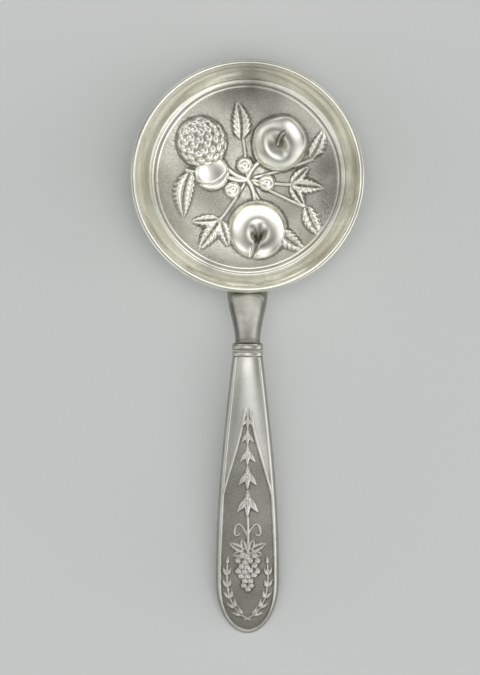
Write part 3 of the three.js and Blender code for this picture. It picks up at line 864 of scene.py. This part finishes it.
class BowlSection:
    """The bowl's section: the lower part of an ellipse, standing on a flat."""

    def __init__(self, sizes):
        self.sizes = sizes
        self.across = sizes.radius / math.sin(sizes.wall_turn)
        self.rest_turn = math.asin(sizes.rest / self.across)
        self.deep = sizes.height / (math.cos(self.rest_turn) - math.cos(sizes.wall_turn))
        self.centre = self.deep * math.cos(self.rest_turn)
        self.relief_turn = math.asin((sizes.radius - sizes.border + RELIEF_FADE) / self.across)
        self.inside_rim_turn = math.acos((self.centre - sizes.height) / (self.deep - sizes.sheet))

    def out(self, turn):
        way = np.stack([np.sin(turn) / self.across, -np.cos(turn) / self.deep], axis=-1)
        return way / np.linalg.norm(way, axis=-1, keepdims=True)

    def outside(self, turn):
        place = [self.across * np.sin(turn), self.centre - self.deep * np.cos(turn)]
        return np.stack(place, axis=-1), self.out(turn)

    def inside(self, turn):
        across, deep = self.across - self.sizes.sheet, self.deep - self.sizes.sheet
        height = np.maximum(self.sizes.sheet, self.centre - deep * np.cos(turn))
        return np.stack([across * np.sin(turn), height], axis=-1), self.out(turn)

    def profile(self):
        """Rows from the flat up the outside, over a rounded lip and down the inside to the middle:
        their places, the ways out from them, and which of them lie underneath."""
        wall_turn, level = self.sizes.wall_turn, self.sizes.height
        outer, outer_way = self.outside(np.concatenate([
            np.linspace(self.rest_turn, self.relief_turn, UNDERSIDE_ROWS, endpoint=False),
            np.linspace(self.relief_turn, wall_turn, WALL_ROWS, endpoint=False)]))
        inner, inner_way = self.inside(np.concatenate([
            np.linspace(self.inside_rim_turn, self.relief_turn, INSIDE_WALL_ROWS, endpoint=False),
            np.linspace(self.relief_turn, 0.004, FLOOR_ROWS)]))
        outer_edge = self.outside(np.array(wall_turn))[0][0]
        inner_edge = self.inside(np.array(self.inside_rim_turn))[0][0]
        half = (outer_edge - inner_edge) / 2
        turns = np.linspace(0, math.pi, LIP_POINTS)
        lip = np.stack([(outer_edge + inner_edge) / 2 + half * np.cos(turns),
                        level - half + half * np.sin(turns)], axis=-1)
        below, above = outer[:, 1] < level - half, inner[:, 1] < level - half
        places = np.concatenate([outer[below], lip, inner[above]])
        ways = np.concatenate([outer_way[below], np.zeros(lip.shape), inner_way[above]])
        return places, ways, np.arange(len(places)) < below.sum()


class SPOON_OT_bowl(bpy.types.Operator):
    """Raise the bowl and emboss its fruit"""
    bl_idname = "spoon.bowl"
    bl_label = "Bowl"

    def execute(self, context):
        sizes = Millimetres(settings().bowl)
        relief = Relief((-sizes.radius,) * 2, (sizes.radius,) * 2, BOWL_CELL, bowl_stamp(sizes))
        places, ways, underneath = BowlSection(sizes).profile()
        underneath, radius = underneath[:, None], places[:, :1]
        angles = np.linspace(0, 2 * math.pi, BOWL_SECTORS, endpoint=False)
        cos, sin = np.cos(angles), np.sin(angles)
        at = (radius * cos, radius * sin)
        clear_of_rest = smooth(radius, sizes.rest, sizes.rest + REST_FADE)
        rise = np.where(underneath, relief.read("soft", *at) * 0.92 * clear_of_rest,
                        relief.read("height", *at))
        lifted = radius - ways[:, :1] * rise
        rows = np.stack([lifted * cos, lifted * sin, places[:, 1:] - ways[:, 1:] * rise], axis=-1)
        plain = underneath | (radius > sizes.radius - sizes.border + PLAIN_BORDER)
        marks = {name: [*np.where(plain, 0, relief.read(name, *at)).ravel(), 0, 0]
                 for name in ("hollow", "ground")}
        points, faces = closed_by_poles(rows, (0, 0, 0), rows[-1].mean(axis=0))
        new_piece("bowl_sheet", points, faces, "bowl_silver", ["bowl"], marks)
        return {"FINISHED"}


# Forms made by Geometry Nodes

def geometry_tree(name, sockets):
    """A geometry tree with its inputs, each a name and a socket type."""
    group = bpy.data.node_groups.new(name, "GeometryNodeTree")
    sockets = {"Geometry": "Geometry", **sockets, "Material": "Material"}
    for socket, kind in sockets.items():
        group.interface.new_socket(socket, in_out="INPUT", socket_type="NodeSocket" + kind)
    group.interface.new_socket("Geometry", in_out="OUTPUT", socket_type="NodeSocketGeometry")
    tree = Tree(group)
    start = tree.node("NodeGroupInput")
    return tree, {socket: tree.other(start, socket) for socket in sockets}


def finish_tree(tree, geometry, inputs):
    """Ends a tree with its instances made real and painted."""
    whole = tree.node("GeometryNodeRealizeInstances", inputs={"Geometry": geometry})
    painted = tree.node("GeometryNodeSetMaterial", inputs={
        "Geometry": whole, "Material": inputs["Material"]})
    tree.node("NodeGroupOutput", inputs={"Geometry": painted})
    return tree.tree


def finish_tilted(tree, geometry, inputs):
    """Ends a tree with its form tilted about the X axis and moved to its place."""
    return finish_tree(tree, tree.node("GeometryNodeTransform", inputs={
        "Geometry": geometry, "Rotation": tree.vector(X=inputs["Tilt"]),
        "Translation": inputs["Centre"]}), inputs)


def grow(piece, group, values, slot, replaces=()):
    values = {**values, "Material": get_material(slot)}
    modifier = piece.modifiers.new(group.name, "NODES")
    modifier.node_group = group
    for item in group.interface.items_tree:
        if item.in_out == "INPUT" and item.name in values:
            modifier[item.identifier] = values[item.name]
    graph = bpy.context.evaluated_depsgraph_get()
    mesh = bpy.data.meshes.new_from_object(piece.evaluated_get(graph))
    piece.modifiers.remove(modifier)
    piece.data = mesh
    mesh.shade_smooth()
    declare(piece, replaces)


def turning_tree():
    """Turns the drawn profile, a chain of edges in the XZ plane, once round the Z axis."""
    if "turning" in bpy.data.node_groups:
        return bpy.data.node_groups["turning"]
    tree, inputs = geometry_tree("turning", {
        "Sectors": "Int", "Rows": "Int", "Squash": "Float", "Tilt": "Float", "Centre": "Vector"})
    profile = tree.node("GeometryNodeMeshToCurve", inputs={"Mesh": inputs["Geometry"]})
    grid = tree.node("GeometryNodeMeshGrid", inputs={
        "Size X": 1.0, "Size Y": 1.0, "Vertices X": inputs["Sectors"],
        "Vertices Y": inputs["Rows"]})
    across, along, _ = tree.parts(tree.node("GeometryNodeInputPosition"))
    radius, _, height = tree.parts(tree.node("GeometryNodeSampleCurve", {"mode": "FACTOR"}, {
        "Curves": profile, "Factor": (along + 0.5).clamped()}, output="Position"))
    turn = (across + 0.5) * (2 * math.pi)
    turned = tree.node("GeometryNodeSetPosition", inputs={"Geometry": grid, "Position": tree.vector(
        X=radius * turn.cosine(), Y=radius * turn.sine() * inputs["Squash"], Z=height)})
    joined = tree.node("GeometryNodeMergeByDistance", inputs={
        "Geometry": turned, "Distance": MERGE})
    return finish_tilted(tree, joined, inputs)


def turned_piece(name, profile, values, slot, replaces, hollow):
    """A piece turned from a closed profile of radius and height in millimetres, marked by how
    hollow the places of its points lie."""
    points = [(radius * MM, 0, height * MM) for radius, height in profile]
    piece = bare_object(name, points, [(i, i + 1) for i in range(len(points) - 1)])
    grow(piece, turning_tree(), values, slot, replaces)
    places = np.empty(len(piece.data.vertices) * 3)
    piece.data.vertices.foreach_get("co", places)
    set_mark(piece.data, "hollow", hollow(places.reshape(-1, 3) / MM))


class SPOON_OT_rim_wire(bpy.types.Operator):
    """Turn the half-round wire round the rim"""
    bl_idname = "spoon.rim_wire"
    bl_label = "Rim wire"

    def execute(self, context):
        sizes = Millimetres(settings().bowl)
        rim, out = BowlSection(sizes).outside(np.array(sizes.wall_turn))
        half_up = np.array([-out[1], out[0]]) * sizes.wire_width / 2
        middle = rim - half_up
        arc = [middle + out * math.cos(turn) * sizes.wire_thickness + half_up * math.sin(turn)
               for turn in np.linspace(-math.pi / 2, math.pi / 2, WIRE_ARC_POINTS)]
        inner = middle - out * WIRE_BURIED

        def hollow(places):
            place = np.stack([np.hypot(places[:, 0], places[:, 1]), places[:, 2]], axis=-1)
            proud = (place - middle) @ out / sizes.wire_thickness
            return 0.8 * (1 - smooth(proud, 0.0, 0.5))

        profile = [*arc, inner + half_up, inner - half_up, arc[0]]
        turned_piece("rim_wire_ring", profile, {
            "Sectors": WIRE_SECTORS, "Rows": WIRE_ROWS, "Squash": 1.0}, "bowl_silver",
            ["rim_wire"], hollow)
        return {"FINISHED"}


class SPOON_OT_shank(bpy.types.Operator):
    """Forge the shank: the drop under the rim, the neck and its shoulder"""
    bl_idname = "spoon.shank"
    bl_label = "Shank"

    def execute(self, context):
        bowl, handle = Millimetres(settings().bowl), Millimetres(settings().handle)
        section, form = BowlSection(bowl), HandleForm()
        place, out = section.outside(np.arcsin((bowl.radius - handle.drop_reach) / section.across))
        start, up_the_wall = np.array([-place[0], place[1]]), np.array([out[1], out[0]])
        span = np.linalg.norm(form.collar - start) / 3
        end = form.collar + form.way * SHANK_IN_COLLAR
        line = CentreLine(start, start + up_the_wall * span, end - form.way * span, end)

        drop_share = 0.36
        share = (np.linspace(0.02, 1, SHANK_ROWS) ** 1.3)[:, None]
        opening = np.sqrt(1 - (1 - np.minimum(1, share / drop_share)) ** 2)
        narrowing = smooth(share, drop_share, 1)
        half_width = lerp(handle.drop_half_width, handle.neck_half_width, narrowing) * opening
        half_depth = lerp(handle.drop_half_depth, handle.neck_half_depth, narrowing) * opening
        turns = np.linspace(0, 2 * math.pi, SHANK_SIDES, endpoint=False)
        x = half_width * np.cos(turns)
        distance = np.broadcast_to(share * line.length, x.shape)
        rows, gap = self.pressed_to_bowl(line.beside(distance, x, half_depth * np.sin(turns)),
                                         section, bowl)
        # Darker where the shank meets the bowl and runs into the collar: patina and painted shade,
        # kept in the hollow mark
        patina_and_shade_by_bowl = 0.8 * np.exp(-np.clip(gap, 0, None) / 0.9)
        patina_and_shade_by_collar = 0.7 * smooth(distance, line.length - 2.4, line.length - 0.8)
        points, faces = closed_by_poles(rows, rows[0].mean(axis=0), rows[-1].mean(axis=0))
        new_piece("shank_forging", points, faces, "handle_silver", ["shank"],
                  {"hollow": [*highest(patina_and_shade_by_bowl, patina_and_shade_by_collar).ravel(), 1, 0]})
        return {"FINISHED"}

    @staticmethod
    def pressed_to_bowl(points, section, bowl):
        """Moves points out of the bowl into its sheet, and says how far clear of it they lie."""
        radius = np.hypot(points[..., 0], points[..., 1])
        across, deep = section.across - bowl.sheet / 2, section.deep - bowl.sheet / 2
        level = points[..., 2] - section.centre
        share = np.sqrt((radius / across) ** 2 + (level / deep) ** 2)
        stretch = np.where((share < 1) & (points[..., 2] < bowl.height), 1 / share, 1)
        clear = (share - 1) * np.hypot(radius, level) - bowl.sheet / 2
        clear = np.where(points[..., 2] > bowl.height, 9.0, clear)
        return np.stack([points[..., 0] * stretch, points[..., 1] * stretch,
                         section.centre + level * stretch], axis=-1), clear


def pearl_tree():
    """Pearls in a ring on an oval, as a collar has."""
    tree, inputs = geometry_tree("pearl_ring", {
        "Count": "Int", "Half Width": "Float", "Half Depth": "Float", "Pearl Radius": "Float",
        "Tilt": "Float", "Centre": "Vector"})
    circle = tree.node("GeometryNodeCurvePrimitiveCircle", inputs={
        "Resolution": 128, "Radius": 1.0})
    across, along, _ = tree.parts(tree.node("GeometryNodeInputPosition"))
    oval = tree.node("GeometryNodeSetPosition", inputs={"Geometry": circle, "Position": tree.vector(
        X=across * inputs["Half Width"], Y=along * inputs["Half Depth"])})
    points = tree.node("GeometryNodeResampleCurve", {"mode": "COUNT"}, {
        "Curve": oval, "Count": inputs["Count"]})
    pearl = tree.node("GeometryNodeMeshIcoSphere", inputs={
        "Radius": inputs["Pearl Radius"], "Subdivisions": 3})
    pearls = tree.node("GeometryNodeInstanceOnPoints", inputs={"Points": points, "Instance": pearl})
    return finish_tilted(tree, pearls, inputs)


class SPOON_OT_collar(bpy.types.Operator):
    """Turn the collar and set its ring of pearls"""
    bl_idname = "spoon.collar"
    bl_label = "Collar"

    def execute(self, context):
        form = HandleForm()
        handle = form.sizes
        middle, up = form.line.at(np.array(handle.collar_length / 2 + COLLAR_GAP))
        half_width = (COLLAR_HIGH[0] - COLLAR_LOW[0]) / 2 / MM - handle.collar_bead
        half_depth = max(handle.neck_half_depth, handle.front_start_rise) + COLLAR_STAND
        half_length = handle.collar_length / 2 - COLLAR_GAP
        edge = half_width - COLLAR_EDGE
        share = np.linspace(0, 1, BEAD_POINTS)
        beads = half_width + handle.collar_bead * np.abs(np.sin(2 * math.pi * share)) ** 0.75
        profile = [(0, -half_length), (edge, -half_length),
                   *zip(beads, half_length * (2 * share - 1)),
                   (edge, half_length), (0, half_length)]
        centre = np.array([0, *middle])
        way = np.array([0, up[1], -up[0]])
        common = {"Tilt": math.atan2(up[0], up[1]) + math.pi / 2, "Centre": tuple(centre * MM)}

        def hollow(places):
            share = ((places - centre) @ way / half_length + 1) / 2
            return 0.9 * (1 - smooth(np.abs(np.sin(2 * math.pi * share)), 0.1, 0.6))

        turned_piece("collar_turning", profile, {
            "Sectors": COLLAR_SECTORS, "Rows": COLLAR_ROWS, "Squash": half_depth / half_width,
            **common}, "handle_silver", ["collar"], hollow)
        grow(bare_object("collar_pearls"), pearl_tree(), {
            "Count": PEARL_COUNT, "Half Width": (half_width + PEARLS_OUT) * MM,
            "Half Depth": (half_depth + PEARLS_OUT) * MM, "Pearl Radius": handle.pearl * MM,
            **common}, "handle_silver")
        return {"FINISHED"}


def handle_half(form, side, sides, rows, relief):
    """Points, faces and marks of one half: its outer skin, and its plain inner one set in by the
    wall, which has one point for each four of the outer."""
    sizes, line = form.sizes, form.line
    widest = line.length - sizes.tip_round
    straight = np.linspace(sizes.collar_length - HANDLE_IN_COLLAR, widest, rows, endpoint=False)
    bends = np.sin(np.linspace(0, math.pi / 2, rows // 3))
    skins = []
    for inset, points_round in ((0, 4 * sides + 1), (sizes.wall, sides + 1)):
        turns = np.linspace(0, math.pi, points_round)
        distance = np.concatenate([straight, widest + (sizes.tip_round - inset) * bends])[:, None]
        half_width, rise, drop = form.section(distance, inset)
        x = half_width * np.cos(turns)
        distance = np.broadcast_to(distance, x.shape)
        lift = (rise if side > 0 else drop) * np.sin(turns) ** 0.8 + SEAM_GAP
        hollow = ground = np.zeros(x.shape)
        if relief and not inset:
            raised, hollow, ground = (relief.read(name, x, line.length - distance)
                                      for name in ("height", "hollow", "ground"))
            lift = lift + raised * smooth(np.sin(turns), 0.0, 0.12)
        skins.append((line.beside(distance, x, side * lift), hollow, ground))
    points, hollow, ground = (np.concatenate([outer, inner[:, ::-1]], axis=1)
                              for outer, inner in zip(*skins))
    count, columns = points.shape[:2]
    faces = grid_faces(count, columns)
    for j in range(sides):
        inner = columns - 1 - j
        faces += [[4 * j + k + 1, 4 * j + k, inner] for k in range(4)]
        faces.append([4 * j + 4, inner, inner - 1])
    if side < 0:
        faces = [face[::-1] for face in faces]
    return points.reshape(-1, 3), faces, {"hollow": hollow, "ground": ground}


def weld(piece):
    """Merges the doubled points at the tip and drops the faces that they close."""
    work = bmesh.new()
    work.from_mesh(piece.data)
    bmesh.ops.remove_doubles(work, verts=work.verts, dist=WELD)
    bmesh.ops.dissolve_degenerate(work, edges=work.edges, dist=THINNEST_FACE)
    work.to_mesh(piece.data)
    work.free()


class SPOON_OT_handle(bpy.types.Operator):
    """Strike the handle's front and back"""
    bl_idname = "spoon.handle"
    bl_label = "Handle"

    def execute(self, context):
        form = HandleForm()
        half_width = form.sizes.half_width + 1
        relief = Relief((-half_width, -1), (half_width, form.line.length + 1), HANDLE_CELL,
                        handle_stamp(form))
        for name, node, *shape in (
                ("handle_front_striking", "handle_front", 1, FRONT_SIDES, FRONT_ROWS, relief),
                ("handle_back_striking", "handle_back", -1, BACK_SIDES, BACK_ROWS, None)):
            points, faces, marks = handle_half(form, *shape)
            weld(new_piece(name, points, faces, "handle_silver", [node], marks))
        return {"FINISHED"}


# Each a name, the piece that it lies on, a slot, and its grains' spacing and radius in millimetres
MATTINGS = [("bowl_matting", "bowl_sheet", "bowl_silver", 0.6, 0.27),
            ("handle_matting", "handle_front_striking", "handle_silver", 0.42, 0.17)]


def matting_tree():
    """Strews small round punch marks, as raised grains, over a piece where its ground is bare."""
    tree, inputs = geometry_tree("matting", {
        "Spacing": "Float", "Grain Radius": "Float", "Seed": "Int"})
    ground = tree.node("GeometryNodeInputNamedAttribute", {"data_type": "FLOAT"}, {
        "Name": "ground"})
    density = 1.6 / (inputs["Spacing"] * inputs["Spacing"])
    points = tree.node("GeometryNodeDistributePointsOnFaces", {"distribute_method": "POISSON"}, {
        "Mesh": inputs["Geometry"], "Distance Min": inputs["Spacing"], "Density Max": density,
        "Density Factor": (ground * 1.6 - 0.6).clamped(), "Seed": inputs["Seed"]})
    grain = tree.node("GeometryNodeMeshUVSphere", inputs={
        "Radius": inputs["Grain Radius"], "Segments": 7, "Rings": 4})
    size = tree.node("FunctionNodeRandomValue", {"data_type": "FLOAT"}, {
        "Min": 0.75, "Max": 1.2, "Seed": inputs["Seed"]}, output="Value")
    grains = tree.node("GeometryNodeInstanceOnPoints", inputs={
        "Points": points, "Instance": grain, "Scale": size})
    whole = tree.node("GeometryNodeRealizeInstances", inputs={"Geometry": grains})
    return finish_tree(tree, tree.node("GeometryNodeStoreNamedAttribute", {
        "data_type": "FLOAT", "domain": "POINT"}, {
        "Geometry": whole, "Name": "ground", "Value": 0.3}), inputs)


class SPOON_OT_matting(bpy.types.Operator):
    """Mat the ground round the fruit and the leaves"""
    bl_idname = "spoon.matting"
    bl_label = "Matting"

    def execute(self, context):
        group = matting_tree()
        for name, source, slot, spacing, radius in MATTINGS:
            piece = bpy.data.objects.new(name, bpy.data.objects[source].data.copy())
            context.collection.objects.link(piece)
            grow(piece, group, {"Spacing": spacing * MM, "Grain Radius": radius * MM,
                                "Seed": GRAIN_SEED}, slot)
        return {"FINISHED"}


class SPOON_OT_filler(bpy.types.Operator):
    """Give the cement in the handle its surface"""
    bl_idname = "spoon.filler"
    bl_label = "Filler"

    def execute(self, context):
        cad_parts["handle_filler"].material_slots[0].material = get_material("cement")
        return {"FINISHED"}


# The stage

FLOOR_HALF = 4.0
SENSOR_WIDTH = 36
LIGHT_TIGHTNESS = 20

# Soft lights that the silver reflects: an elevation and an azimuth in degrees, from +X towards
# +Y, and a strength
REFLECTED_LIGHTS = [
    (90, 0, 1.98), (67, 120, 0.28), (67, 180, 0.05), (67, 300, 0.43), (46, 36, 0.6),
    (46, 180, 1.41), (46, 252, 0.5), (46, 288, 1.0), (46, 324, 0.08), (28, 18, 0.54),
    (28, 54, 1.74), (28, 90, 1.76), (28, 126, 1.68), (28, 198, 0.06), (28, 234, 0.6),
    (28, 270, 0.41), (28, 306, 0.78), (28, 342, 1.04), (11, 0, 1.47), (11, 108, 0.11),
    (11, 180, 0.94), (11, 216, 1.36), (11, 252, 0.39), (11, 324, 1.72),
]

# Soft lights that fall on the table and give the spoon its shadow there
TABLE_LIGHTS = [
    (90, 0, 5.13), (67, 0, 1.19), (67, 120, 0.32), (46, 216, 1.32), (46, 324, 1.79),
    (28, 198, 0.26), (28, 342, 0.12), (11, 0, 4.09), (11, 144, 0.19), (11, 180, 2.54),
    (11, 216, 0.23),
]


class SPOON_OT_stage(bpy.types.Operator):
    """Set the table, the light and the camera"""
    bl_idname = "spoon.stage"
    bl_label = "Stage"

    def execute(self, context):
        group = settings().stage
        self.floor(group)
        self.world(context, group)
        self.camera(context, group)
        context.scene.view_settings.view_transform = "Standard"
        return {"FINISHED"}

    def floor(self, group):
        def build(tree):
            cloud = tree.noise(tree.node("ShaderNodeTexCoord", output="Object"), TABLE_CLOUDS)
            lighter = tuple(part * 1.01 for part in group.floor)
            return tree.node("ShaderNodeBsdfPrincipled", inputs={
                "Base Color": tree.mixed(cloud, group.floor, lighter), "Roughness": 0.75,
                "Specular IOR Level": 0.2})

        corners = [(x * FLOOR_HALF, y * FLOOR_HALF, 0)
                   for x, y in ((-1, -1), (1, -1), (1, 1), (-1, 1))]
        floor = bare_object("floor", corners, [], [(0, 1, 2, 3)])
        floor.data.materials.append(new_material("floor", build))

    def world(self, context, group):
        """Soft lights all round, each a lobe of the sky, and plain grey where the camera looks."""
        world = bpy.data.worlds.new("studio")
        context.scene.world = world
        tree = cleared_tree(world)
        way = tree.node("ShaderNodeTexCoord", output="Generated")

        def lobe(elevation, azimuth, power):
            level, turn = math.radians(elevation), math.radians(azimuth)
            towards = (math.cos(level) * math.cos(turn), math.cos(level) * math.sin(turn),
                       math.sin(level))
            facing = tree.node("ShaderNodeVectorMath", {"operation": "DOT_PRODUCT"},
                               {0: way, 1: towards}, output="Value")
            return ((facing - 1) * LIGHT_TIGHTNESS).exponential() * (power * group.light)

        camera = tree.node("ShaderNodeLightPath", output="Is Camera Ray")
        glossy = tree.other(camera, "Is Glossy Ray")
        reflected, falling = (sum(lobe(*light) for light in lights)
                              for lights in (REFLECTED_LIGHTS, TABLE_LIGHTS))
        light = reflected * glossy + falling * (1 - glossy)
        tree.node("ShaderNodeOutputWorld", inputs={"Surface": tree.node(
            "ShaderNodeBackground", inputs={
                "Color": (*group.tint, 1),
                "Strength": light * (1 - camera) + camera * group.background})})

    def camera(self, context, group):
        data = bpy.data.cameras.new("camera")
        data.sensor_width = SENSOR_WIDTH
        data.lens = SENSOR_WIDTH * group.camera_height / group.frame_height
        holder = bpy.data.objects.new("camera", data)
        context.collection.objects.link(holder)
        holder.location = (group.centre_x, group.centre_y, group.camera_height)
        context.scene.camera = holder


STEPS = ("bowl", "rim_wire", "shank", "collar", "handle", "matting", "filler", "stage")


class SPOON_PT_panel(bpy.types.Panel):
    """Lists the spoon's steps and sizes"""
    bl_idname = "SPOON_PT_panel"
    bl_label = "Berry spoon"
    bl_space_type = "VIEW_3D"
    bl_region_type = "UI"
    bl_category = "Spoon"

    def draw(self, context):
        for step in STEPS:
            self.layout.operator("spoon." + step)
        for group in ("bowl", "handle", "finish", "stage"):
            box = self.layout.box()
            box.label(text=group.capitalize())
            sizes = getattr(context.scene.spoon, group)
            for name in sizes.__annotations__:
                box.prop(sizes, name)


CLASSES = (BowlSizes, HandleSizes, Finishes, StageSettings, SpoonSettings, SPOON_OT_bowl,
           SPOON_OT_rim_wire, SPOON_OT_shank, SPOON_OT_collar, SPOON_OT_handle, SPOON_OT_matting,
           SPOON_OT_filler, SPOON_OT_stage, SPOON_PT_panel)


def register():
    for item in CLASSES:
        bpy.utils.register_class(item)
    bpy.types.Scene.spoon = PointerProperty(type=SpoonSettings)


def unregister():
    del bpy.types.Scene.spoon
    for item in reversed(CLASSES):
        bpy.utils.unregister_class(item)


def main():
    register()
    for step in STEPS:
        getattr(bpy.ops.spoon, step)()


if __name__ == "__main__":
    main()
